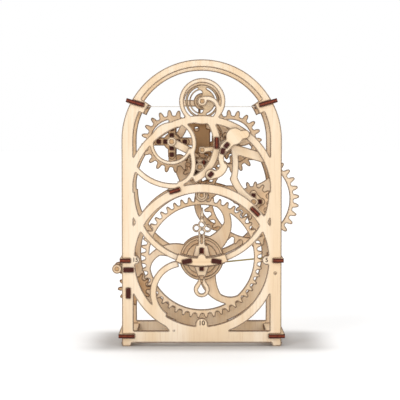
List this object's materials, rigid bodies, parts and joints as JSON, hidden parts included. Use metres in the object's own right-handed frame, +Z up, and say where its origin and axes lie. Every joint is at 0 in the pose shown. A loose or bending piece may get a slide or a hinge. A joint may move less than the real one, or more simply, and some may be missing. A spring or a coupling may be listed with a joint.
{
  "type": "wooden mechanical timer kit",
  "caption": "Free-standing laser-cut plywood timer: an arched skeleton frame carrying spoked gears, a lever escapement, a balance and a pointing hand.",
  "frame": {"origin": "middle of the base, on the surface that the feet stand on", "axes": "+X to the right of the dial, +Y from the dial to the back, +Z up"},
  "size_m": [0.1444, 0.0658, 0.2154],
  "materials": {
    "birch_ply": "sanded birch veneer, laser-cut edges",
    "burnt_edge_ply": "laser-charred plywood ends",
    "beech_dowel": "turned dowel",
    "cotton_thread": "twisted cotton",
    "rubber_band": "matte elastic"
  },
  "bodies": {
    "frame": {"front_frame": "birch_ply", "rear_frame": "birch_ply", "inner_bridge": "birch_ply", "front_arm": "birch_ply", "dial_plate": "birch_ply", "click_bracket": "birch_ply", "anchor_back_plate": "birch_ply", "bridge_peg": "burnt_edge_ply", "anchor_post": "burnt_edge_ply", "arm_pegs": "burnt_edge_ply", "dial_plate_pegs": "burnt_edge_ply", "bracket_pegs": "burnt_edge_ply", "left_shoulder_bar": "burnt_edge_ply", "right_shoulder_bar": "burnt_edge_ply", "left_side_bar": "burnt_edge_ply", "right_side_bar": "burnt_edge_ply", "left_foot_bar": "burnt_edge_ply", "right_foot_bar": "burnt_edge_ply", "upper_tie_bar": "burnt_edge_ply", "shoulder_thread": "cotton_thread", "rubber_band": "rubber_band", "tie_rod": "beech_dowel", "rod_collar": "birch_ply"},
    "main_train": {"main_wheel": "birch_ply", "main_shaft": "beech_dowel", "main_strips": "burnt_edge_ply", "hub_disc": "birch_ply", "band_drum": "birch_ply", "hand": "birch_ply"},
    "second_train": {"second_pinion": "birch_ply", "rear_wheel": "birch_ply", "second_cross": "birch_ply", "second_strips": "burnt_edge_ply", "second_shaft": "beech_dowel"},
    "right_train": {"right_pinion": "birch_ply", "right_wheel": "birch_ply", "right_cross": "birch_ply", "right_strips": "burnt_edge_ply", "right_shaft": "beech_dowel"},
    "left_train": {"left_wheel": "birch_ply", "left_cross": "birch_ply", "left_strips": "burnt_edge_ply", "left_shaft": "beech_dowel", "left_cap": "birch_ply"},
    "escape_train": {"escape_pinion": "birch_ply", "escape_wheel": "birch_ply", "escape_cross": "birch_ply", "escape_strips": "burnt_edge_ply", "escape_shaft": "beech_dowel"},
    "anchor_lever": {"anchor": "birch_ply", "anchor_shaft": "beech_dowel", "anchor_collar": "birch_ply"},
    "balance": {"balance_wheel": "birch_ply", "balance_roller": "birch_ply", "balance_shaft": "beech_dowel"},
    "stop_train": {"stop_pinion": "birch_ply", "stop_shaft": "beech_dowel"},
    "click_lever": {"click": "birch_ply", "click_pin": "beech_dowel", "click_knob": "birch_ply"}
  },
  "joints": [
    {"name": "main_spin", "type": "hinge", "parent": "frame", "child": "main_train", "pos_m": [0, 0, 0.0653], "axis": [0, 1, 0], "continuous": true},
    {"name": "second_spin", "type": "hinge", "parent": "frame", "child": "second_train", "pos_m": [0.03914, 0, 0.1087], "axis": [0, 1, 0], "continuous": true},
    {"name": "right_spin", "type": "hinge", "parent": "frame", "child": "right_train", "pos_m": [0.0225, 0, 0.154], "axis": [0, 1, 0], "continuous": true},
    {"name": "left_spin", "type": "hinge", "parent": "frame", "child": "left_train", "pos_m": [-0.0225, 0, 0.154], "axis": [0, 1, 0], "continuous": true},
    {"name": "escape_spin", "type": "hinge", "parent": "frame", "child": "escape_train", "pos_m": [-0.0015, 0, 0.13495], "axis": [0, 1, 0], "continuous": true},
    {"name": "stop_spin", "type": "hinge", "parent": "frame", "child": "stop_train", "pos_m": [-0.05133, 0, 0.04145], "axis": [0, 1, 0], "continuous": true},
    {"name": "balance_swing", "type": "hinge", "parent": "frame", "child": "balance", "pos_m": [0.0004, 0, 0.1842], "axis": [0, 1, 0], "range_deg": [-25, 25]},
    {"name": "anchor_rock", "type": "hinge", "parent": "frame", "child": "anchor_lever", "pos_m": [0.0004, 0, 0.1477], "axis": [0, 1, 0], "range_deg": [-4, 4]},
    {"name": "click_lift", "type": "hinge", "parent": "frame", "child": "click_lever", "pos_m": [-0.0637, 0, 0.0585], "axis": [0, 1, 0], "range_deg": [0, 30]}
  ],
  "couplings": [
    {"joint": "second_spin", "follows": "main_spin", "ratio": -3.4286},
    {"joint": "right_spin", "follows": "main_spin", "ratio": 9.974},
    {"joint": "left_spin", "follows": "main_spin", "ratio": -9.974},
    {"joint": "escape_spin", "follows": "main_spin", "ratio": 9.974},
    {"joint": "stop_spin", "follows": "main_spin", "ratio": -4},
    {"joint": "anchor_rock", "follows": "balance_swing", "ratio": -0.15873}
  ]
}
